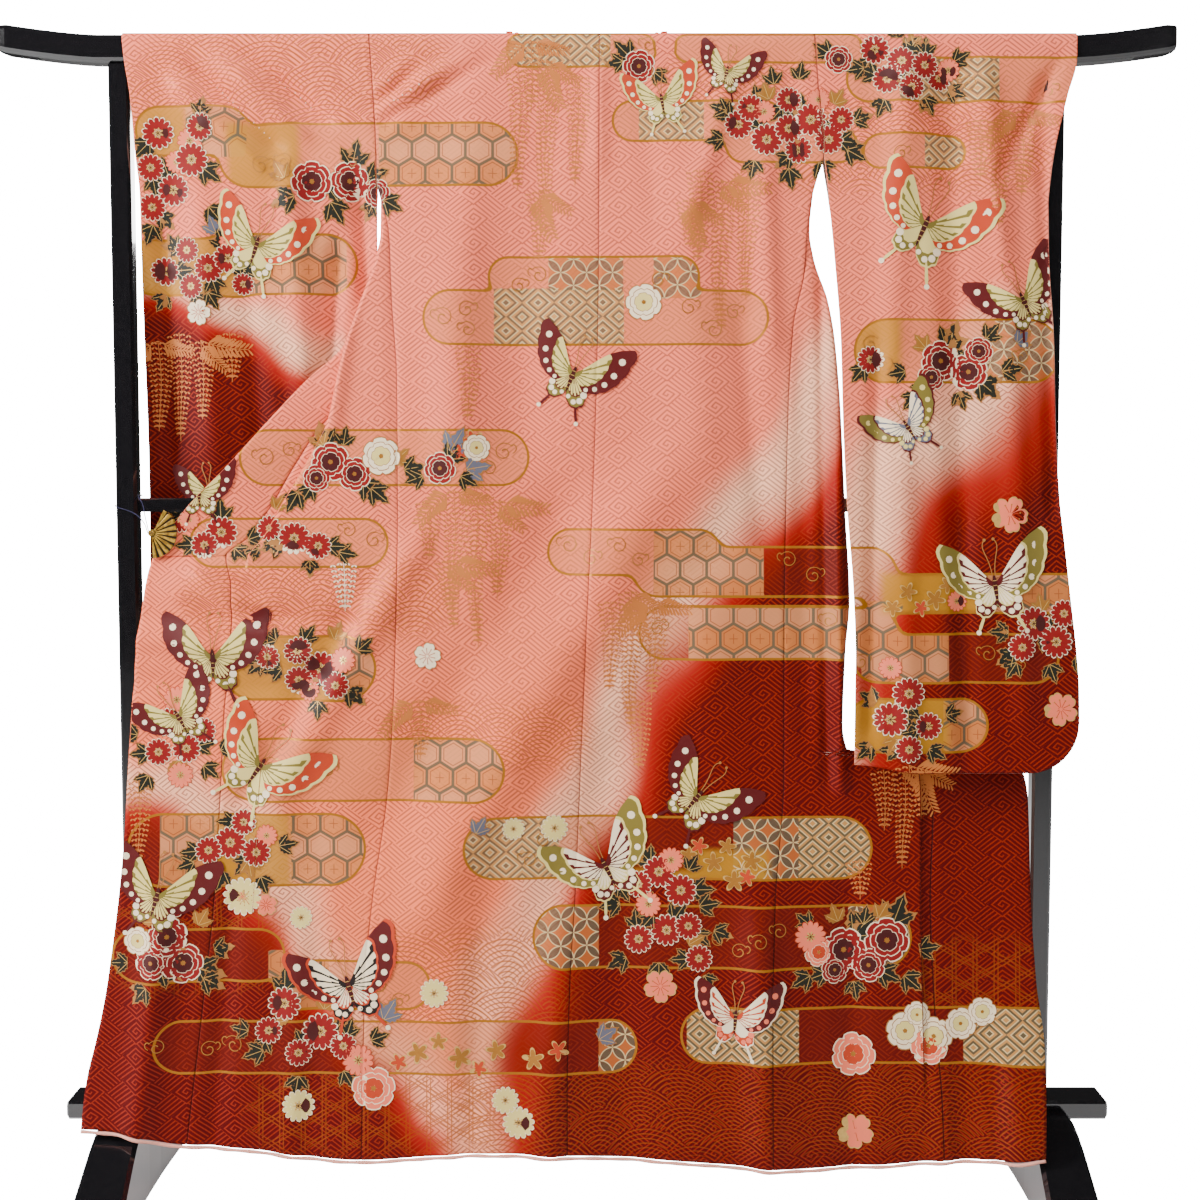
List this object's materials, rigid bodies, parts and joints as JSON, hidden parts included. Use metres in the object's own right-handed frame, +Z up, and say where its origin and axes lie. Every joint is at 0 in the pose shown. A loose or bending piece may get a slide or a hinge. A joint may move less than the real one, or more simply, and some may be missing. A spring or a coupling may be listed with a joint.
{
  "type": "furisode kimono on kimono stand",
  "caption": "Long-sleeved formal kimono hung by its shoulders over a lacquered kimono stand, seen from its back, one front drawn out by a fan-shaped clip.",
  "frame": {"origin": "the floor under the middle of the stand", "axes": "+Z up, +Y from the kimono's back through to its front, +X to the right when the kimono's back is faced"},
  "size_m": [1.672, 0.56, 1.693],
  "materials": {
    "cloth": "figured silk, dyed salmon to vermilion",
    "lining": "plain pale pink silk",
    "lacquer": "glossy black lacquer",
    "gilt": "aged gilt",
    "thread": "dull navy cotton"
  },
  "bodies": {
    "root": {"back_left": "cloth", "back_right": "cloth", "front_left": "cloth", "front_right": "cloth", "okumi_left": "cloth", "okumi_right": "cloth", "collar_left": "cloth", "collar_neck": "cloth", "collar_right": "cloth", "sleeve_left_back": "cloth", "sleeve_left_front": "cloth", "sleeve_right_back": "cloth", "sleeve_right_front": "cloth", "hem_roll": "lining", "rail": "lacquer", "upright_left": "lacquer", "upright_right": "lacquer", "mid_rail": "lacquer", "cross_board": "lacquer", "foot_left": "lacquer", "foot_right": "lacquer", "fan_front": "gilt", "fan_back": "gilt", "fan_pin": "gilt", "thread": "thread"}
  },
  "joints": []
}
